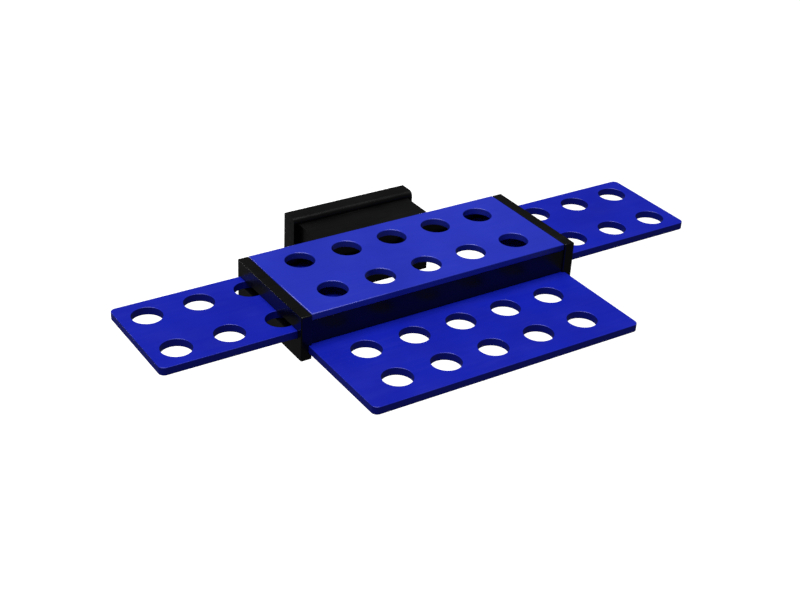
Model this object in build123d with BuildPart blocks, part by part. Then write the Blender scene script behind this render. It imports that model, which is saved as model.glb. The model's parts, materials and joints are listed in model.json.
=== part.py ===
from build123d import *
import os

os.makedirs("parts", exist_ok=True)

# Test tube rack that hooks over the wall of a bath or tank, with trays that slide out of three sides.
# Millimetres. X runs along the rack, Y points away from the user towards the wall, Z is up.
# The origin is the middle of the hook's seat, the face that rests on the top of the wall.

# ---- tube grid -------------------------------------------------------------
PITCH = 22.0          # hole to hole along a row
ROW_Y = 13.2          # the two rows of the deck and side trays lie this far from the grid's middle
HOLE_R = 6.2          # clears a 12 mm tube and catches its rim
GRID_Y = -38.25       # the grid's middle line
DECK_Z = 11.0         # top face of the deck

# ---- body ------------------------------------------------------------------
DECK_T = 3.0
BODY_X = 61.0         # half the length between the end plates
END_T = 4.8           # end plate
FRONT_Y = GRID_Y - 26.4
BACK_Y = GRID_Y + 25.7
END_FRONT_Y = GRID_Y - 27.2
BODY_H = 19.5
FRONT_PANEL_T = 2.1
BACK_PANEL_T = 1.4
GUIDE_T = 2.2         # width of the ledges that carry the side trays
GAP = 0.3             # running clearance round every tray

# ---- trays -----------------------------------------------------------------
TRAY_T = 3.4
TRAY_Y = 24.0         # half width of a side tray
TRAY_L = 90.0         # length of a side tray, four columns
TRAY_END = 11.2       # outer end of a side tray to its first column
SIDE_TOP = DECK_Z - 7.3
FRONT_TOP = DECK_Z - 13.35
LEFT_OUT = -122.2     # outer end of the left tray, as posed
RIGHT_OUT = 132.2     # outer end of the right tray, as posed
LEFT_IN = 45.0        # travel that brings the left tray's columns under the deck's
RIGHT_IN = 28.6       # travel that brings the right tray to 0.8 from the left one, both pushed in
NOTCH_X = 1.5         # cut from a side tray's inner corners, to clear the middle stops
NOTCH_Y = 2.8
FTRAY_X = 62.4        # half width of the front tray, edges in the end plates' grooves
FTRAY_FRONT = GRID_Y - 75.2
FTRAY_BACK = GRID_Y - 15.8
FROW_1 = GRID_Y - 39.4
FROW_2 = GRID_Y - 61.5
EAR = 1.3             # the front tray's rear corners stand this far past its edges
EAR_FRONT = GRID_Y - 20.8
EAR_BACK = GRID_Y - 16.4

# ---- hook ------------------------------------------------------------------
NECK_X = 27.6
NECK_TOP = DECK_Z - 1.6
HOOK_LOW = DECK_Z - 28.6
SLOT_IN = GRID_Y + 33.0    # hook side of the wall slot
SLOT_OUT = GRID_Y + 43.5
JAW_X = 30.0
JAW_BACK = GRID_Y + 52.0
JAW_TOP = DECK_Z + 1.0

# ---- pins and screws -------------------------------------------------------
PIN_R = 0.95
PIN_HEAD_R = 1.6
PIN_HEAD_H = 1.6
PIN_BACK = 15.3       # stop pins, from a side tray's inner end
PIN_Y = 3.0
DOWEL_R = 0.6

# levels and lines that follow from the above
BODY_LOW = DECK_Z - BODY_H
SIDE_LOW = SIDE_TOP - TRAY_T
FRONT_LOW = FRONT_TOP - TRAY_T
PANEL_TOP = DECK_Z - DECK_T
PANEL_LOW = FRONT_TOP + 0.4
STOP_L = LEFT_OUT + TRAY_L + LEFT_IN - NOTCH_X + GAP      # sides of the middle stops, which meet
STOP_R = RIGHT_OUT - TRAY_L - RIGHT_IN + NOTCH_X - GAP    # the trays' notches when they are pushed in
DECK_COLS = [-2 * PITCH, -PITCH, 0.0, PITCH, 2 * PITCH]
LEFT_COLS = [LEFT_OUT + TRAY_END + i * PITCH for i in range(4)]
RIGHT_COLS = [RIGHT_OUT - TRAY_END - i * PITCH for i in range(4)]
LEFT_PIN_X = LEFT_OUT + TRAY_L - PIN_BACK
RIGHT_PIN_X = RIGHT_OUT - TRAY_L + PIN_BACK
FRONT_GUIDE_Y = GRID_Y - TRAY_Y - GAP      # outer side of the front guides
BACK_GUIDE_Y = GRID_Y + TRAY_Y + GAP       # outer side of the back guides
SIDE_ROWS = [GRID_Y - ROW_Y, GRID_Y + ROW_Y]
NOTCH_ROWS = [GRID_Y - TRAY_Y + NOTCH_Y / 2, GRID_Y + TRAY_Y - NOTCH_Y / 2]
DOWEL_Z = [DECK_Z - 5.5, DECK_Z - 10.5]        # front panel to end plates
BACK_DOWEL_Z = [DECK_Z - 13.0, DECK_Z - 17.5]  # back guide to end plates
FRONT_DOWEL_Y = (FRONT_Y + FRONT_GUIDE_Y) / 2
GUIDE_MID_F = FRONT_GUIDE_Y + GUIDE_T / 2
GUIDE_MID_B = BACK_GUIDE_Y - GUIDE_T / 2
DECK_DOWEL_X = [-52.0, 0.0, 52.0]
HOOK_SCREW_X = [-22.0, -9.0, 9.0, 22.0]
HOOK_SCREW_Z = DECK_Z - 15.5
JAW_SCREW_X = [-20.0, 0.0, 20.0]
JAW_SCREW_Z = DECK_Z - 7.0

# ---- deck: the fixed top plate, two rows of five holes ----------------------
DECK_X = BODY_X - 0.2
with BuildPart() as top_plate:
    with BuildSketch(Plane.XY.offset(PANEL_TOP)):
        with Locations((0, (FRONT_Y + BACK_Y) / 2)):
            Rectangle(2 * DECK_X, BACK_Y - FRONT_Y)
        with Locations(*[(x, y) for x in DECK_COLS for y in SIDE_ROWS]):
            Circle(HOLE_R, mode=Mode.SUBTRACT)
    extrude(amount=DECK_T)
    long_edges = top_plate.edges().filter_by(Axis.X).sort_by(Axis.Z)[-2:]
    fillet(long_edges, 0.5)
    # blind holes for the locating dowels
    with BuildSketch(Plane.XY.offset(PANEL_TOP)):
        with Locations(*[(x, y) for x in DECK_DOWEL_X for y in (GUIDE_MID_F, GUIDE_MID_B)]):
            Circle(DOWEL_R)
    extrude(amount=2.0, mode=Mode.SUBTRACT)
top_plate.part.label = "top_plate"

# ---- left end plate: window for the left tray, groove for the front tray ----
with BuildPart() as left_end_plate:
    with BuildSketch(Plane.XY.offset(BODY_LOW)):
        with Locations((-BODY_X - END_T / 2, (END_FRONT_Y + BACK_Y) / 2)):
            Rectangle(END_T, BACK_Y - END_FRONT_Y)
    extrude(amount=BODY_H)
    fillet(left_end_plate.edges().filter_by(Axis.Z), 0.5)
    outer_top = left_end_plate.edges().filter_by(Axis.Y).sort_by(Axis.Z)[-2:].sort_by(Axis.X)[:1]
    fillet(outer_top, 0.5)
    # window the left tray runs through
    with BuildSketch(Plane.XY.offset(SIDE_LOW - GAP)):
        with Locations((-BODY_X - END_T / 2, GRID_Y)):
            Rectangle(END_T + 2, 2 * (TRAY_Y + GAP))
    extrude(amount=TRAY_T + 2 * GAP, mode=Mode.SUBTRACT)
    # groove for the front tray's edge, open at the front
    with BuildSketch(Plane.XY.offset(FRONT_LOW - GAP)):
        with Locations((-BODY_X - 0.85, (END_FRONT_Y - 1 + GRID_Y + 20.8) / 2)):
            Rectangle(1.7, GRID_Y + 20.8 - END_FRONT_Y + 1)
    extrude(amount=TRAY_T + 2 * GAP, mode=Mode.SUBTRACT)
    # deeper part that lets the ear run but stops it at the front
    with BuildSketch(Plane.XY.offset(FRONT_LOW - GAP)):
        with Locations((-BODY_X - 1.5, (EAR_FRONT - 2.3 + GRID_Y + 20.8) / 2)):
            Rectangle(3.0, GRID_Y + 20.8 - EAR_FRONT + 2.3)
    extrude(amount=TRAY_T + 2 * GAP, mode=Mode.SUBTRACT)
    # blind dowel holes in the inner face
    with BuildSketch(Plane.YZ.offset(-BODY_X)):
        with Locations(*[(FRONT_DOWEL_Y, z) for z in DOWEL_Z]):
            Circle(DOWEL_R)
        with Locations(*[(GUIDE_MID_B, z) for z in BACK_DOWEL_Z]):
            Circle(DOWEL_R)
    extrude(amount=-3.2, mode=Mode.SUBTRACT)
left_end_plate.part.label = "left_end_plate"

# ---- right end plate, the mirror image of the left one ----------------------
with BuildPart() as right_end_plate:
    with BuildSketch(Plane.XY.offset(BODY_LOW)):
        with Locations((BODY_X + END_T / 2, (END_FRONT_Y + BACK_Y) / 2)):
            Rectangle(END_T, BACK_Y - END_FRONT_Y)
    extrude(amount=BODY_H)
    fillet(right_end_plate.edges().filter_by(Axis.Z), 0.5)
    outer_top = right_end_plate.edges().filter_by(Axis.Y).sort_by(Axis.Z)[-2:].sort_by(Axis.X)[-1:]
    fillet(outer_top, 0.5)
    with BuildSketch(Plane.XY.offset(SIDE_LOW - GAP)):
        with Locations((BODY_X + END_T / 2, GRID_Y)):
            Rectangle(END_T + 2, 2 * (TRAY_Y + GAP))
    extrude(amount=TRAY_T + 2 * GAP, mode=Mode.SUBTRACT)
    with BuildSketch(Plane.XY.offset(FRONT_LOW - GAP)):
        with Locations((BODY_X + 0.85, (END_FRONT_Y - 1 + GRID_Y + 20.8) / 2)):
            Rectangle(1.7, GRID_Y + 20.8 - END_FRONT_Y + 1)
    extrude(amount=TRAY_T + 2 * GAP, mode=Mode.SUBTRACT)
    with BuildSketch(Plane.XY.offset(FRONT_LOW - GAP)):
        with Locations((BODY_X + 1.5, (EAR_FRONT - 2.3 + GRID_Y + 20.8) / 2)):
            Rectangle(3.0, GRID_Y + 20.8 - EAR_FRONT + 2.3)
    extrude(amount=TRAY_T + 2 * GAP, mode=Mode.SUBTRACT)
    with BuildSketch(Plane.YZ.offset(BODY_X)):
        with Locations(*[(FRONT_DOWEL_Y, z) for z in DOWEL_Z]):
            Circle(DOWEL_R)
        with Locations(*[(GUIDE_MID_B, z) for z in BACK_DOWEL_Z]):
            Circle(DOWEL_R)
    extrude(amount=3.2, mode=Mode.SUBTRACT)
right_end_plate.part.label = "right_end_plate"

# ---- front panel, above the front tray --------------------------------------
with BuildPart() as front_panel:
    with BuildSketch(Plane.XY.offset(PANEL_LOW)):
        with Locations((0, FRONT_DOWEL_Y)):
            Rectangle(2 * BODY_X, FRONT_PANEL_T)
    extrude(amount=PANEL_TOP - PANEL_LOW)
    with BuildSketch(Plane.YZ.offset(-BODY_X)):
        with Locations(*[(FRONT_DOWEL_Y, z) for z in DOWEL_Z]):
            Circle(DOWEL_R)
    extrude(amount=3.2, mode=Mode.SUBTRACT)
    with BuildSketch(Plane.YZ.offset(BODY_X)):
        with Locations(*[(FRONT_DOWEL_Y, z) for z in DOWEL_Z]):
            Circle(DOWEL_R)
    extrude(amount=-3.2, mode=Mode.SUBTRACT)
front_panel.part.label = "front_panel"

# ---- back panel, the full height of the body --------------------------------
with BuildPart() as back_panel:
    with BuildSketch(Plane.XY.offset(BODY_LOW)):
        with Locations((0, BACK_Y - BACK_PANEL_T / 2)):
            Rectangle(2 * BODY_X, BACK_PANEL_T)
    extrude(amount=PANEL_TOP - BODY_LOW)
    with BuildSketch(Plane.XZ.offset(-BACK_Y - 1)):
        with Locations(*[(x, HOOK_SCREW_Z) for x in HOOK_SCREW_X]):
            Circle(1.1)
    extrude(amount=BACK_PANEL_T + 2, mode=Mode.SUBTRACT)
back_panel.part.label = "back_panel"

# ---- upper guides: strips over the side trays' edges ------------------------
with BuildPart() as front_upper_guide:
    with BuildSketch(Plane.XY.offset(SIDE_TOP + GAP)):
        with Locations((0, GUIDE_MID_F)):
            Rectangle(2 * BODY_X, GUIDE_T)
    extrude(amount=PANEL_TOP - SIDE_TOP - GAP)
    with BuildSketch(Plane.XY.offset(PANEL_TOP)):
        with Locations(*[(x, GUIDE_MID_F) for x in DECK_DOWEL_X]):
            Circle(DOWEL_R)
    extrude(amount=-2.4, mode=Mode.SUBTRACT)
front_upper_guide.part.label = "front_upper_guide"

with BuildPart() as back_upper_guide:
    with BuildSketch(Plane.XY.offset(SIDE_TOP + GAP)):
        with Locations((0, GUIDE_MID_B)):
            Rectangle(2 * BODY_X, GUIDE_T)
    extrude(amount=PANEL_TOP - SIDE_TOP - GAP)
    with BuildSketch(Plane.XY.offset(PANEL_TOP)):
        with Locations(*[(x, GUIDE_MID_B) for x in DECK_DOWEL_X]):
            Circle(DOWEL_R)
    extrude(amount=-2.4, mode=Mode.SUBTRACT)
back_upper_guide.part.label = "back_upper_guide"

# ---- lower guides: the ledges the trays' edges ride on, with the middle stop -
with BuildPart() as front_lower_guide:
    with BuildSketch(Plane.XZ.offset(-FRONT_GUIDE_Y)):
        with BuildLine():
            Polyline(
                (-BODY_X, PANEL_LOW), (-BODY_X, SIDE_LOW - GAP), (STOP_L, SIDE_LOW - GAP),
                (STOP_L, SIDE_TOP + GAP), (STOP_R, SIDE_TOP + GAP), (STOP_R, SIDE_LOW - GAP),
                (BODY_X, SIDE_LOW - GAP), (BODY_X, PANEL_LOW),
                close=True,
            )
        make_face()
    extrude(amount=-GUIDE_T)
front_lower_guide.part.label = "front_lower_guide"

with BuildPart() as back_lower_guide:
    with BuildSketch(Plane.XZ.offset(-BACK_GUIDE_Y)):
        with BuildLine():
            Polyline(
                (-BODY_X, BODY_LOW), (-BODY_X, SIDE_LOW - GAP), (STOP_L, SIDE_LOW - GAP),
                (STOP_L, SIDE_TOP + GAP), (STOP_R, SIDE_TOP + GAP), (STOP_R, SIDE_LOW - GAP),
                (BODY_X, SIDE_LOW - GAP), (BODY_X, BODY_LOW),
                close=True,
            )
        make_face()
    extrude(amount=GUIDE_T)
    with BuildSketch(Plane.YZ.offset(-BODY_X)):
        with Locations(*[(GUIDE_MID_B, z) for z in BACK_DOWEL_Z]):
            Circle(DOWEL_R)
    extrude(amount=3.2, mode=Mode.SUBTRACT)
    with BuildSketch(Plane.YZ.offset(BODY_X)):
        with Locations(*[(GUIDE_MID_B, z) for z in BACK_DOWEL_Z]):
            Circle(DOWEL_R)
    extrude(amount=-3.2, mode=Mode.SUBTRACT)
    # countersunk holes for the hook's screws, heads flush with the inner side
    with BuildSketch(Plane.XZ.offset(-BACK_GUIDE_Y + GUIDE_T)):
        with Locations(*[(x, HOOK_SCREW_Z) for x in HOOK_SCREW_X]):
            Circle(2.0)
    extrude(amount=-0.9, taper=45, mode=Mode.SUBTRACT)
    with BuildSketch(Plane.XZ.offset(-BACK_GUIDE_Y + GUIDE_T)):
        with Locations(*[(x, HOOK_SCREW_Z) for x in HOOK_SCREW_X]):
            Circle(1.1)
    extrude(amount=-GUIDE_T, mode=Mode.SUBTRACT)
back_lower_guide.part.label = "back_lower_guide"

# ---- left tray -------------------------------------------------------------------
with BuildPart() as left_tray:
    with BuildSketch(Plane.XY.offset(SIDE_LOW)):
        with Locations((LEFT_OUT + TRAY_L / 2, GRID_Y)):
            Rectangle(TRAY_L, 2 * TRAY_Y)
        with Locations(*[(LEFT_OUT + TRAY_L - NOTCH_X / 2, y) for y in NOTCH_ROWS]):
            Rectangle(NOTCH_X, NOTCH_Y, mode=Mode.SUBTRACT)
        with Locations(*[(x, y) for x in LEFT_COLS for y in SIDE_ROWS]):
            Circle(HOLE_R, mode=Mode.SUBTRACT)
        with Locations((LEFT_PIN_X, GRID_Y - PIN_Y), (LEFT_PIN_X, GRID_Y + PIN_Y)):
            Circle(PIN_R + 0.05, mode=Mode.SUBTRACT)
    extrude(amount=TRAY_T)
    tray_corners = left_tray.edges().filter_by(Axis.Z).filter_by(GeomType.LINE).sort_by(Axis.X)
    tray_corners = tray_corners.filter_by(lambda e: abs(e.center().Y - GRID_Y) > TRAY_Y - 0.1)
    fillet(tray_corners[:2], 2.5)
left_tray.part.label = "left_tray"

# ---- right tray, the same part turned end for end --------------------------------
with BuildPart() as right_tray:
    with BuildSketch(Plane.XY.offset(SIDE_LOW)):
        with Locations((RIGHT_OUT - TRAY_L / 2, GRID_Y)):
            Rectangle(TRAY_L, 2 * TRAY_Y)
        with Locations(*[(RIGHT_OUT - TRAY_L + NOTCH_X / 2, y) for y in NOTCH_ROWS]):
            Rectangle(NOTCH_X, NOTCH_Y, mode=Mode.SUBTRACT)
        with Locations(*[(x, y) for x in RIGHT_COLS for y in SIDE_ROWS]):
            Circle(HOLE_R, mode=Mode.SUBTRACT)
        with Locations((RIGHT_PIN_X, GRID_Y - PIN_Y), (RIGHT_PIN_X, GRID_Y + PIN_Y)):
            Circle(PIN_R + 0.05, mode=Mode.SUBTRACT)
    extrude(amount=TRAY_T)
    tray_corners = right_tray.edges().filter_by(Axis.Z).filter_by(GeomType.LINE).sort_by(Axis.X)
    tray_corners = tray_corners.filter_by(lambda e: abs(e.center().Y - GRID_Y) > TRAY_Y - 0.1)
    fillet(tray_corners[-2:], 2.5)
right_tray.part.label = "right_tray"

# ---- front tray, with ears at its rear corners ------------------------------
with BuildPart() as front_tray:
    with BuildSketch(Plane.XY.offset(FRONT_LOW)):
        with Locations((0, (FTRAY_FRONT + FTRAY_BACK) / 2)):
            Rectangle(2 * FTRAY_X, FTRAY_BACK - FTRAY_FRONT)
        with Locations((0, (EAR_FRONT + EAR_BACK) / 2)):
            Rectangle(2 * (FTRAY_X + EAR), EAR_BACK - EAR_FRONT)
        with Locations(*[(x, y) for x in DECK_COLS for y in (FROW_1, FROW_2)]):
            Circle(HOLE_R, mode=Mode.SUBTRACT)
    extrude(amount=TRAY_T)
    tray_corners = front_tray.edges().filter_by(Axis.Z).filter_by(GeomType.LINE).sort_by(Axis.Y)
    tray_corners = tray_corners.filter_by(lambda e: abs(e.center().Y - FTRAY_FRONT) < 0.1)
    fillet(tray_corners, 2.5)
front_tray.part.label = "front_tray"

# ---- stop pins: a head on the tray that meets the end plate ----------------
with BuildPart() as left_tray_pins:
    with BuildSketch(Plane.XY.offset(SIDE_LOW)):
        with Locations((LEFT_PIN_X, GRID_Y - PIN_Y), (LEFT_PIN_X, GRID_Y + PIN_Y)):
            Circle(PIN_R)
    extrude(amount=TRAY_T)
    with BuildSketch(Plane.XY.offset(SIDE_TOP)):
        with Locations((LEFT_PIN_X, GRID_Y - PIN_Y), (LEFT_PIN_X, GRID_Y + PIN_Y)):
            Circle(PIN_HEAD_R)
    extrude(amount=PIN_HEAD_H)
left_tray_pins.part.label = "left_tray_pins"

with BuildPart() as right_tray_pins:
    with BuildSketch(Plane.XY.offset(SIDE_LOW)):
        with Locations((RIGHT_PIN_X, GRID_Y - PIN_Y), (RIGHT_PIN_X, GRID_Y + PIN_Y)):
            Circle(PIN_R)
    extrude(amount=TRAY_T)
    with BuildSketch(Plane.XY.offset(SIDE_TOP)):
        with Locations((RIGHT_PIN_X, GRID_Y - PIN_Y), (RIGHT_PIN_X, GRID_Y + PIN_Y)):
            Circle(PIN_HEAD_R)
    extrude(amount=PIN_HEAD_H)
right_tray_pins.part.label = "right_tray_pins"

# ---- dowels, half in each of the two pieces they join -----------------------
with BuildPart() as frame_dowels:
    for side in (-1, 1):
        with BuildSketch(Plane.YZ.offset(side * BODY_X - 3.0)):
            with Locations(*[(FRONT_DOWEL_Y, z) for z in DOWEL_Z]):
                Circle(DOWEL_R)
            with Locations(*[(GUIDE_MID_B, z) for z in BACK_DOWEL_Z]):
                Circle(DOWEL_R)
        extrude(amount=6.0)
frame_dowels.part.label = "frame_dowels"

with BuildPart() as deck_dowels:
    with BuildSketch(Plane.XY.offset(PANEL_TOP - 2.2)):
        with Locations(*[(x, y) for x in DECK_DOWEL_X for y in (GUIDE_MID_F, GUIDE_MID_B)]):
            Circle(DOWEL_R)
    extrude(amount=4.0)
deck_dowels.part.label = "deck_dowels"

# ---- hook: inner leg and bridge in one piece --------------------------------
with BuildPart() as hanger_neck:
    with BuildSketch(Plane.YZ.offset(-NECK_X)):
        with BuildLine():
            Polyline(
                (BACK_Y, NECK_TOP), (SLOT_OUT, NECK_TOP), (SLOT_OUT, 0.0), (SLOT_IN, 0.0),
                (SLOT_IN, HOOK_LOW), (BACK_Y, HOOK_LOW),
                close=True,
            )
        make_face()
    extrude(amount=2 * NECK_X)
    low_edges = hanger_neck.edges().filter_by(Axis.X).sort_by(Axis.Z)[:2]
    fillet(low_edges, 0.5)
    with BuildSketch(Plane.XZ.offset(-BACK_Y)):
        with Locations(*[(x, HOOK_SCREW_Z) for x in HOOK_SCREW_X]):
            Circle(1.1)
    extrude(amount=-6.2, mode=Mode.SUBTRACT)
    with BuildSketch(Plane.XZ.offset(-SLOT_OUT)):
        with Locations(*[(x, JAW_SCREW_Z) for x in JAW_SCREW_X]):
            Circle(1.6)
    extrude(amount=10.2, mode=Mode.SUBTRACT)
hanger_neck.part.label = "hanger_neck"

# ---- jaw: the outer bar of the hook -----------------------------------------
with BuildPart() as hanger_jaw:
    with BuildSketch(Plane.XY.offset(HOOK_LOW)):
        with Locations((0, (SLOT_OUT + JAW_BACK) / 2)):
            Rectangle(2 * JAW_X, JAW_BACK - SLOT_OUT)
    extrude(amount=JAW_TOP - HOOK_LOW)
    fillet(hanger_jaw.edges().filter_by(Axis.X).sort_by(Axis.Z)[:2], 1.5)
    fillet(hanger_jaw.edges().filter_by(Axis.X).sort_by(Axis.Z)[-2:].sort_by(Axis.Y)[:1], 2.2)
    fillet(hanger_jaw.edges().filter_by(Axis.X).sort_by(Axis.Z)[-1:], 0.8)
    with BuildSketch(Plane.XZ.offset(-JAW_BACK)):
        with Locations(*[(x, JAW_SCREW_Z) for x in JAW_SCREW_X]):
            Circle(3.0)
    extrude(amount=3.4, mode=Mode.SUBTRACT)
    with BuildSketch(Plane.XZ.offset(-JAW_BACK)):
        with Locations(*[(x, JAW_SCREW_Z) for x in JAW_SCREW_X]):
            Circle(1.6)
    extrude(amount=10, mode=Mode.SUBTRACT)
hanger_jaw.part.label = "hanger_jaw"

# ---- hook screws: flat heads inside the body --------------------------------
with BuildPart() as hanger_screws:
    with BuildSketch(Plane.XZ.offset(-BACK_GUIDE_Y + GUIDE_T)):
        with Locations(*[(x, HOOK_SCREW_Z) for x in HOOK_SCREW_X]):
            Circle(2.0)
    extrude(amount=-0.9, taper=45)
    with BuildSketch(Plane.XZ.offset(-BACK_GUIDE_Y + GUIDE_T)):
        with Locations(*[(x, HOOK_SCREW_Z) for x in HOOK_SCREW_X]):
            Circle(1.0)
    extrude(amount=-9.0)
    # cross slots
    with BuildSketch(Plane.XZ.offset(-BACK_GUIDE_Y + GUIDE_T)):
        with Locations(*[(x, HOOK_SCREW_Z) for x in HOOK_SCREW_X]):
            Rectangle(2.0, 0.5)
            Rectangle(0.5, 2.0)
    extrude(amount=-0.6, mode=Mode.SUBTRACT)
hanger_screws.part.label = "hanger_screws"

# ---- jaw screws: socket heads in counterbores -------------------------------
with BuildPart() as jaw_screws:
    with BuildSketch(Plane.XZ.offset(-JAW_BACK + 3.4)):
        with Locations(*[(x, JAW_SCREW_Z) for x in JAW_SCREW_X]):
            Circle(2.75)
    extrude(amount=-3.0)
    with BuildSketch(Plane.XZ.offset(-JAW_BACK + 3.4)):
        with Locations(*[(x, JAW_SCREW_Z) for x in JAW_SCREW_X]):
            Circle(1.5)
    extrude(amount=14.5)
    with BuildSketch(Plane.XZ.offset(-JAW_BACK + 0.4)):
        with Locations(*[(x, JAW_SCREW_Z) for x in JAW_SCREW_X]):
            RegularPolygon(1.45, 6)
    extrude(amount=1.6, mode=Mode.SUBTRACT)
jaw_screws.part.label = "jaw_screws"

export_step(top_plate.part, "parts/top_plate.step")
export_step(left_end_plate.part, "parts/left_end_plate.step")
export_step(right_end_plate.part, "parts/right_end_plate.step")
export_step(front_panel.part, "parts/front_panel.step")
export_step(back_panel.part, "parts/back_panel.step")
export_step(front_upper_guide.part, "parts/front_upper_guide.step")
export_step(back_upper_guide.part, "parts/back_upper_guide.step")
export_step(front_lower_guide.part, "parts/front_lower_guide.step")
export_step(back_lower_guide.part, "parts/back_lower_guide.step")
export_step(left_tray.part, "parts/left_tray.step")
export_step(right_tray.part, "parts/right_tray.step")
export_step(front_tray.part, "parts/front_tray.step")
export_step(left_tray_pins.part, "parts/left_tray_pins.step")
export_step(right_tray_pins.part, "parts/right_tray_pins.step")
export_step(frame_dowels.part, "parts/frame_dowels.step")
export_step(deck_dowels.part, "parts/deck_dowels.step")
export_step(hanger_neck.part, "parts/hanger_neck.step")
export_step(hanger_jaw.part, "parts/hanger_jaw.step")
export_step(hanger_screws.part, "parts/hanger_screws.step")
export_step(jaw_screws.part, "parts/jaw_screws.step")
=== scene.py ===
import json
import math

import bmesh
import bpy
from mathutils import Matrix, Vector


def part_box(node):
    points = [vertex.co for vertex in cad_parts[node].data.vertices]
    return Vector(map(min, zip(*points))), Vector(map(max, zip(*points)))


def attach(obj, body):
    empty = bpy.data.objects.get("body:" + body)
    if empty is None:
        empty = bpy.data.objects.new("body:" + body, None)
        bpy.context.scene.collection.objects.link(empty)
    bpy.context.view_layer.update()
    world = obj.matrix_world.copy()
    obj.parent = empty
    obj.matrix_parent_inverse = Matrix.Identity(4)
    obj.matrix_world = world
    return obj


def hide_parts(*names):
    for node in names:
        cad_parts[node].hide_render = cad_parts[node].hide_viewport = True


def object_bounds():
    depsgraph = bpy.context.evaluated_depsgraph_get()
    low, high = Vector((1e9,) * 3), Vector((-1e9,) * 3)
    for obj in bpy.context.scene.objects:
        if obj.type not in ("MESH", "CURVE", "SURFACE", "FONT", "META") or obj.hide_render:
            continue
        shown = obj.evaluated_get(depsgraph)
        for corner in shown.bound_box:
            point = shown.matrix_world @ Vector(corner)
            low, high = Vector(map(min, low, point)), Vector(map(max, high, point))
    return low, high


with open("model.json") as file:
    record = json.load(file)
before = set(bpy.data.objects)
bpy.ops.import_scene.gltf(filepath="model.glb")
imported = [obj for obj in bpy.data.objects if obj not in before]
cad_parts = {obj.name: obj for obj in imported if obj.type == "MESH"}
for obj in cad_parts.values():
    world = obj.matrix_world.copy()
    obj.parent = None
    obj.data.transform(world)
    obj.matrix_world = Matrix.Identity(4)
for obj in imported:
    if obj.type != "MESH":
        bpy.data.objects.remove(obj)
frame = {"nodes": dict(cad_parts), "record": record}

cad_low, cad_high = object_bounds()
MM = 0.001


# ---------------------------------------------------------------- colour and nodes
def linear(hex_colour):
    """An sRGB hex colour as the linear RGBA that shaders take."""
    rgb = [int(hex_colour[i:i + 2], 16) / 255 for i in (1, 3, 5)]
    return [c / 12.92 if c <= 0.04045 else ((c + 0.055) / 1.055) ** 2.4 for c in rgb] + [1.0]


def add_node(tree, kind, settings=None, inputs=None, links=None):
    """One node, its own settings, its sockets' values, and what is plugged into them."""
    made = tree.nodes.new(kind)
    for name, value in (settings or {}).items():
        setattr(made, name, value)
    for name, value in (inputs or {}).items():
        made.inputs[name].default_value = value
    for name, source in (links or {}).items():
        tree.links.new(source, made.inputs[name])
    return made


def ramp_stops(ramp, stops):
    """Sets a colour ramp's stops from (position, grey or hex) pairs."""
    held = ramp.color_ramp.elements
    while len(held) < len(stops):
        held.new(0.5)
    for element, (at, shade) in zip(held, stops):
        element.position = at
        element.color = linear(shade) if isinstance(shade, str) else (shade, shade, shade, 1.0)
    return ramp


def new_material(name):
    """An empty material, and its tree."""
    made = bpy.data.materials.new(name)
    made.use_nodes = True
    tree = made.node_tree
    tree.nodes.clear()
    return made, tree


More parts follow.
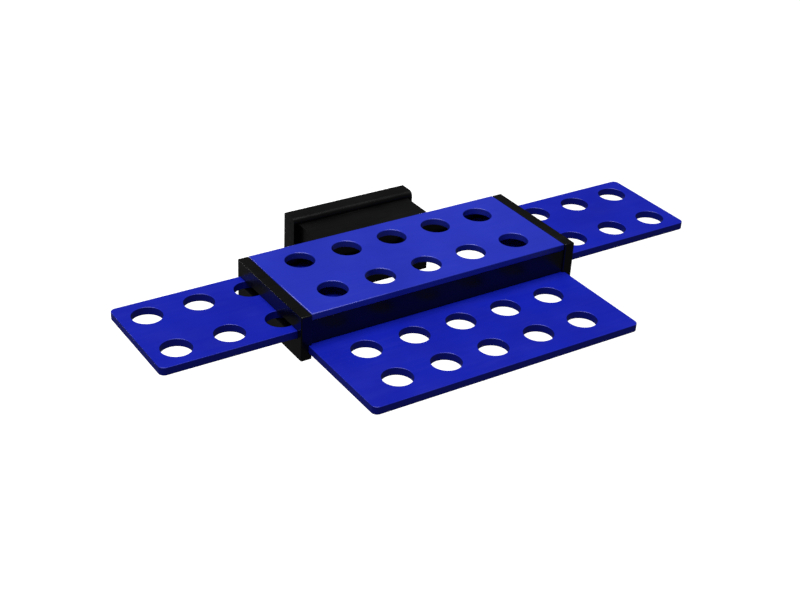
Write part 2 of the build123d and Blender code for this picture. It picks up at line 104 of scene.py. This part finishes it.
# ---------------------------------------------------------------- materials
def moulded_plastic(name, shades, worn, roughness, ior, drift_mm, peel_mm, peel_height_mm, scuff):
    """A pigmented thermoplastic moulding: the pigment drifts a little in shade along the flow, the tool's
    polish leaves a faint orange peel, handling leaves fine hairlines that only show in the gloss, and the
    edges are rubbed paler and smoother than the faces."""
    made, tree = new_material(name)
    here = add_node(tree, "ShaderNodeTexCoord").outputs["Object"]
    # slow drift of the pigment
    drift = add_node(tree, "ShaderNodeTexNoise", {},
                     {"Scale": 1000 / drift_mm, "Detail": 3.0, "Roughness": 0.55}, {"Vector": here})
    shade = ramp_stops(add_node(tree, "ShaderNodeValToRGB", links={"Fac": drift.outputs["Fac"]}),
                       [(0.3, shades[0]), (0.7, shades[1])])
    # rubbed edges: where a slightly rounded normal leaves the flat one, broken up by a noise of 4 mm
    flat = add_node(tree, "ShaderNodeNewGeometry").outputs["Normal"]
    rounded = add_node(tree, "ShaderNodeBevel", {"samples": 6}, {"Radius": 0.6 * MM})
    alike = add_node(tree, "ShaderNodeVectorMath", {"operation": "DOT_PRODUCT"},
                     links={0: rounded.outputs["Normal"], 1: flat})
    patchy = add_node(tree, "ShaderNodeTexNoise", {}, {"Scale": 1000 / 4.0, "Detail": 4.0, "Roughness": 0.6},
                      {"Vector": here})
    edge = add_node(tree, "ShaderNodeMapRange", {"clamp": True},
                    {"From Min": 0.995, "From Max": 0.88, "To Min": 0.0, "To Max": 1.0},
                    {"Value": alike.outputs["Value"]})
    broken = add_node(tree, "ShaderNodeMapRange", {"clamp": True},
                      {"From Min": 0.35, "From Max": 0.7, "To Min": 0.05, "To Max": 0.55},
                      {"Value": patchy.outputs["Fac"]})
    rub = add_node(tree, "ShaderNodeMath", {"operation": "MULTIPLY"},
                   links={0: edge.outputs["Result"], 1: broken.outputs["Result"]})
    colour = add_node(tree, "ShaderNodeMix", {"data_type": "RGBA"}, {7: linear(worn)},
                      {0: rub.outputs["Value"], 6: shade.outputs["Color"]})
    # hairlines: noise stretched 12 to 1, kept to some patches
    hair_length, hair_width, patch_size = 18.0, 1.5, 18.0
    stretched = add_node(tree, "ShaderNodeMapping", {},
                         {"Scale": (1000 / hair_length, 1000 / hair_width, 1000 / hair_width)},
                         {"Vector": here})
    hairs = add_node(tree, "ShaderNodeTexNoise", {}, {"Scale": 1.0, "Detail": 4.0, "Roughness": 0.6},
                     {"Vector": stretched.outputs["Vector"]})
    patches = add_node(tree, "ShaderNodeTexNoise", {}, {"Scale": 1000 / patch_size, "Detail": 2.0},
                       {"Vector": here})
    rubbed = add_node(tree, "ShaderNodeMath", {"operation": "MULTIPLY"},
                      links={0: hairs.outputs["Fac"], 1: patches.outputs["Fac"]})
    gloss = add_node(tree, "ShaderNodeMapRange", {"clamp": True},
                     {"From Min": 0.12, "From Max": 0.42, "To Min": roughness - scuff / 2,
                      "To Max": roughness + scuff}, {"Value": rubbed.outputs["Value"]})
    smoother = add_node(tree, "ShaderNodeMath", {"operation": "MULTIPLY_ADD"}, {1: -0.08},
                        {0: rub.outputs["Value"], 2: gloss.outputs["Result"]})
    # orange peel
    peel = add_node(tree, "ShaderNodeTexNoise", {},
                    {"Scale": 1000 / peel_mm, "Detail": 2.0, "Roughness": 0.5}, {"Vector": here})
    skin = add_node(tree, "ShaderNodeBump", {}, {"Strength": 1.0, "Distance": peel_height_mm * MM},
                    {"Height": peel.outputs["Fac"]})
    shader = add_node(tree, "ShaderNodeBsdfPrincipled", {}, {"IOR": ior, "Metallic": 0.0},
                      {"Base Color": colour.outputs[2], "Roughness": smoother.outputs["Value"],
                       "Normal": skin.outputs["Normal"]})
    add_node(tree, "ShaderNodeOutputMaterial", links={"Surface": shader.outputs["BSDF"]})
    return made


def turned_steel(name):
    """Stainless steel pin or screw, turned on a lathe: a fine grain, bright but not mirror."""
    made, tree = new_material(name)
    grain_mm = 0.12
    at = add_node(tree, "ShaderNodeTexCoord")
    grain = add_node(tree, "ShaderNodeTexNoise", {}, {"Scale": 1000 / grain_mm, "Detail": 2.0},
                     {"Vector": at.outputs["Object"]})
    gloss = add_node(tree, "ShaderNodeMapRange", {}, {"To Min": 0.22, "To Max": 0.38},
                     {"Value": grain.outputs["Fac"]})
    tone = ramp_stops(add_node(tree, "ShaderNodeValToRGB", links={"Fac": grain.outputs["Fac"]}),
                      [(0.3, "#A9ABAD"), (0.7, "#BCBEC0")])
    skin = add_node(tree, "ShaderNodeBump", {}, {"Strength": 1.0, "Distance": 0.004 * MM},
                    {"Height": grain.outputs["Fac"]})
    shader = add_node(tree, "ShaderNodeBsdfPrincipled", {}, {"Metallic": 1.0},
                      {"Base Color": tone.outputs["Color"], "Roughness": gloss.outputs["Result"],
                       "Normal": skin.outputs["Normal"]})
    add_node(tree, "ShaderNodeOutputMaterial", links={"Surface": shader.outputs["BSDF"]})
    return made


# Polypropylene sheet in a strong ultramarine: saturated and a little waxy, so its gloss is soft.
DECK_BLUE = moulded_plastic("blue_polypropylene_deck", ("#1E2BA6", "#2431B2"), "#3C4CCB", 0.30, 1.49,
                            30.0, 1.4, 0.010, 0.08)
# The trays take the deck's blue painted a shade deeper, as painted shade for the trays that sit lower; their
# guides rub them a little duller than the deck.
TRAY_BLUE_PAINTED_SHADE = moulded_plastic("blue_polypropylene_tray_painted_shade", ("#08169A", "#0C1CA6"), "#2A3ABF", 0.33, 1.49,
                            30.0, 1.4, 0.010, 0.08)
# Black ABS: no colour of its own, so what shows is its satin gloss.
FRAME_BLACK = moulded_plastic("black_abs_satin", ("#020203", "#040405"), "#161618", 0.28, 1.50,
                              20.0, 0.9, 0.008, 0.08)
PIN_STEEL = turned_steel("stainless_steel_turned")

SLOT_MATERIAL = {"blue_plate": DECK_BLUE, "blue_tray": TRAY_BLUE_PAINTED_SHADE, "black_frame": FRAME_BLACK,
                 "steel": PIN_STEEL}


# ---------------------------------------------------------------- plates with rounded edges
def circle(x, y, radius, count=72):
    return [Vector((x + radius * math.cos(2 * math.pi * i / count),
                    y + radius * math.sin(2 * math.pi * i / count))) for i in range(count)]


def rounded_outline(corners, steps=8):
    """A closed outline through (x, y, radius) corners, anticlockwise, each corner an arc."""
    points = []
    for i, (x, y, radius) in enumerate(corners):
        here = Vector((x, y))
        if radius <= 0:
            points.append(here)
            continue
        before = (Vector(corners[i - 1][:2]) - here).normalized()
        after = (Vector(corners[(i + 1) % len(corners)][:2]) - here).normalized()
        # right angles only: the arc's centre is a radius in along both sides
        middle = here + (before + after) * radius
        for k in range(steps + 1):
            turn = math.pi / 2 * k / steps
            points.append(middle - after * radius * math.cos(turn) - before * radius * math.sin(turn))
    return points


def air_side(points, hole):
    """The outward step at each point of an outline that moves every side of it by one unit."""
    found = []
    for i, here in enumerate(points):
        before = (here - points[i - 1]).normalized()
        after = (points[(i + 1) % len(points)] - here).normalized()
        n_before, n_after = Vector((before.y, -before.x)), Vector((after.y, -after.x))
        out = (n_before + n_after) / (1 + n_before.dot(n_after))
        found.append(-out if hole else out)
    return found


def moulded_plate(name, outline, holes, low, high, edge, steps=4):
    """A flat plate with through holes, every edge rounded by the same small radius."""
    mesh = bpy.data.meshes.new(name)
    shape = bmesh.new()
    tops, bottoms = [], []
    for n, loop in enumerate([outline] + holes):
        out = air_side(loop, n > 0)
        levels = []
        for k in range(steps + 1):
            turn = math.pi / 2 * k / steps
            levels.append((edge * (1 - math.sin(turn)), high - edge * (1 - math.cos(turn))))
        levels += [(inset, low + (high - z)) for inset, z in reversed(levels)]
        rings = [[shape.verts.new((p.x - o.x * inset, p.y - o.y * inset, z)) for p, o in zip(loop, out)]
                 for inset, z in levels]
        count = len(loop)
        for upper, lower in zip(rings, rings[1:]):
            for i in range(count):
                quad = [upper[i], lower[i], lower[(i + 1) % count], upper[(i + 1) % count]]
                shape.faces.new(quad if n == 0 else quad[::-1]).smooth = True
        tops.append(rings[0])
        bottoms.append(rings[-1])
    for loops, up in ((tops, 1.0), (bottoms, -1.0)):
        rims = [shape.edges.get((a, b)) for loop in loops for a, b in zip(loop, loop[1:] + loop[:1])]
        filled = bmesh.ops.triangle_fill(shape, use_beauty=True, edges=rims, normal=(0, 0, up))
        for face in (f for f in filled["geom"] if isinstance(f, bmesh.types.BMFace)):
            face.normal_update()
            if face.normal.z * up < 0:
                face.normal_flip()
            face.smooth = True
    shape.normal_update()
    shape.to_mesh(mesh)
    shape.free()
    plate = bpy.data.objects.new(name, mesh)
    bpy.context.scene.collection.objects.link(plate)
    plate.modifiers.new("flat faces stay flat", "WEIGHTED_NORMAL").keep_sharp = False
    return plate


def hole_centres(node_prefix):
    """The tube holes of one plate, from the record's mounts."""
    found = [m for m in frame["record"]["mounts"] if m["name"].startswith(node_prefix)]
    return [(m["pos_m"][0], m["pos_m"][1], m["dims"]["r_mm"] * MM) for m in found]


def pin_holes(pins, hole_mm=1.0, head_mm=1.6):
    """The two holes that a tray's stop pins are pressed into."""
    low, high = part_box(pins)
    x = (low.x + high.x) / 2
    return [(x, low.y + head_mm * MM, hole_mm * MM), (x, high.y - head_mm * MM, hole_mm * MM)]


def plate_for(node, body, slot, corners, holes, edge_mm):
    """Stands a rounded plate in for a CAD node: same outline, holes and thickness."""
    low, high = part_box(node)
    rings = [circle(x, y, r) for x, y, r in holes]
    plate = moulded_plate(node + "_moulding", rounded_outline(corners), rings, low.z, high.z, edge_mm * MM)
    plate.data.materials.append(SLOT_MATERIAL[slot])
    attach(plate, body)
    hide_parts(node)
    return plate


def notched_end(x_end, x_notch, front, back, depth):
    """The inner end of a side tray, front to back, with its two corners cut away."""
    return [(x_notch, front, 0), (x_notch, front + depth, 0), (x_end, front + depth, 0),
            (x_end, back - depth, 0), (x_notch, back - depth, 0), (x_notch, back, 0)]


CORNER, NOTCH_X, NOTCH_Y = 2.5 * MM, 1.5 * MM, 2.8 * MM
low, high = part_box("top_plate")
plate_for("top_plate", "rack", "blue_plate",
          [(low.x, low.y, 0), (high.x, low.y, 0), (high.x, high.y, 0), (low.x, high.y, 0)],
          hole_centres("deck_tube_hole"), 0.4)
low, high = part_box("left_tray")
plate_for("left_tray", "left_tray", "blue_tray",
          [(low.x, low.y, CORNER)] + notched_end(high.x, high.x - NOTCH_X, low.y, high.y, NOTCH_Y)
          + [(low.x, high.y, CORNER)],
          hole_centres("left_tray_tube_hole") + pin_holes("left_tray_pins"), 0.25)
low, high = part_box("right_tray")
plate_for("right_tray", "right_tray", "blue_tray",
          [(high.x, low.y, CORNER), (high.x, high.y, CORNER)]
          + [(x, low.y + high.y - y, r)
             for x, y, r in notched_end(low.x, low.x + NOTCH_X, low.y, high.y, NOTCH_Y)],
          hole_centres("right_tray_tube_hole") + pin_holes("right_tray_pins"), 0.25)
EAR, EAR_FRONT, EAR_BACK = 1.3 * MM, 5.0 * MM, 0.6 * MM    # past the edge, and back from the rear edge
low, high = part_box("front_tray")
edge_l, edge_r, ear_f, ear_b = low.x + EAR, high.x - EAR, high.y - EAR_FRONT, high.y - EAR_BACK
plate_for("front_tray", "front_tray", "blue_tray",
          [(edge_l, low.y, CORNER), (edge_r, low.y, CORNER), (edge_r, ear_f, 0), (high.x, ear_f, 0),
           (high.x, ear_b, 0), (edge_r, ear_b, 0), (edge_r, high.y, 0), (edge_l, high.y, 0),
           (edge_l, ear_b, 0), (low.x, ear_b, 0), (low.x, ear_f, 0), (edge_l, ear_f, 0)],
          hole_centres("front_tray_tube_hole"), 0.25)

# ---------------------------------------------------------------- pieces shown as the CAD has them
# The edge radii asked for. The overlap limit shrinks them to nothing where a mesh has narrow triangles, so
# only the back panel and the front lower guide come out rounded; the other pieces keep the CAD's sharp edges.
SOFT_EDGE_MM = {"left_end_plate": 0.3, "right_end_plate": 0.3, "front_panel": 0.2, "back_panel": 0.2,
                "front_upper_guide": 0.15, "back_upper_guide": 0.15, "front_lower_guide": 0.15,
                "back_lower_guide": 0.15, "hanger_neck": 0.4, "hanger_jaw": 0.4}
slot_of = {s["node"]: s["material_slot"] for s in frame["record"]["subparts"]}
for name, node in frame["nodes"].items():
    material = SLOT_MATERIAL[slot_of[name]]
    node.data.materials.clear()
    node.data.materials.append(material)
    if name in SOFT_EDGE_MM:
        weld = node.modifiers.new("join seams", "WELD")
        weld.merge_threshold = 1e-6
        soft = node.modifiers.new("soft edges", "BEVEL")
        soft.width = SOFT_EDGE_MM[name] * MM
        soft.segments = 3
        soft.limit_method = "ANGLE"
        soft.angle_limit = math.radians(40)
        soft.use_clamp_overlap = True
        node.modifiers.new("flat faces stay flat", "WEIGHTED_NORMAL")

# ---------------------------------------------------------------- stage, light and camera
FLOOR_DROP = 0.30       # the rack hangs from its hook, so the floor is well below it
floor_mesh = bpy.data.meshes.new("floor")
FLOOR_HALF = 30.0
floor_mesh.from_pydata([(-FLOOR_HALF, -FLOOR_HALF, 0), (FLOOR_HALF, -FLOOR_HALF, 0),
                        (FLOOR_HALF, FLOOR_HALF, 0), (-FLOOR_HALF, FLOOR_HALF, 0)], [], [(0, 1, 2, 3)])
floor = bpy.data.objects.new("floor", floor_mesh)
floor.location = (0, 0, cad_low.z - FLOOR_DROP)
bpy.context.scene.collection.objects.link(floor)
paper, paper_tree = new_material("white_paper_backdrop")
paper_shader = add_node(paper_tree, "ShaderNodeBsdfDiffuse", {}, {"Color": linear("#F2F2F2")})
add_node(paper_tree, "ShaderNodeOutputMaterial", links={"Surface": paper_shader.outputs["BSDF"]})
floor_mesh.materials.append(paper)

# The white floor is kept out of the light that the rack gathers, so its forward faces stay dark.
floor.visible_diffuse = False
floor.visible_glossy = False

world = bpy.data.worlds.new("studio")
bpy.context.scene.world = world
world.use_nodes = True
world.node_tree.nodes["Background"].inputs["Color"].default_value = linear("#FFFFFF")
world.node_tree.nodes["Background"].inputs["Strength"].default_value = 0.05

sun_data = bpy.data.lights.new("overhead_softbox", "SUN")
sun_data.energy = 3.85
sun_data.angle = math.radians(50)
sun = bpy.data.objects.new("overhead_softbox", sun_data)
sun.rotation_euler = Vector((-0.15, 0.0, 1.0)).to_track_quat("Z", "Y").to_euler()
bpy.context.scene.collection.objects.link(sun)

# A low softbox behind, under the level of the deck, shows the hook and the back without touching the tops.
fill_data = bpy.data.lights.new("rear_softbox", "AREA")
fill_data.shape = "RECTANGLE"
fill_data.size, fill_data.size_y = 1.6, 0.25
fill_data.energy = 9.0
fill = bpy.data.objects.new("rear_softbox", fill_data)
FILL_BACK, FILL_DROP = 1.2, 0.15        # behind the hook, and below the rack
fill.location = (0.0, FILL_BACK, cad_low.z - FILL_DROP)
fill.rotation_euler = Vector((0.0, FILL_BACK, -FILL_DROP)).to_track_quat("Z", "Y").to_euler()
fill.visible_camera = False
bpy.context.scene.collection.objects.link(fill)

AZIMUTH, ELEVATION, ROLL = math.radians(34.17), math.radians(30.11), math.radians(-3.10)
AIM = Vector((-0.00741, -0.04467, -0.00772))     # from the middle of the hook's seat
DISTANCE = 0.58987
LENS = 64.17
back = Vector((-math.sin(AZIMUTH) * math.cos(ELEVATION), -math.cos(AZIMUTH) * math.cos(ELEVATION),
               math.sin(ELEVATION)))
right = (-back).cross(Vector((0, 0, 1))).normalized()
down = (-back).cross(right)
c, s = math.cos(ROLL), math.sin(ROLL)
across, fall = c * right + s * down, -s * right + c * down
camera_data = bpy.data.cameras.new("camera")
camera_data.lens = LENS
camera_data.sensor_width = 36.0
camera_data.clip_start, camera_data.clip_end = 0.01, 100
camera = bpy.data.objects.new("camera", camera_data)
camera.matrix_world = Matrix((
    (across.x, -fall.x, back.x, 0), (across.y, -fall.y, back.y, 0), (across.z, -fall.z, back.z, 0),
    (0, 0, 0, 1)))
camera.location = AIM + back * DISTANCE
bpy.context.scene.collection.objects.link(camera)
bpy.context.scene.camera = camera
bpy.context.scene.view_settings.view_transform = "Standard"
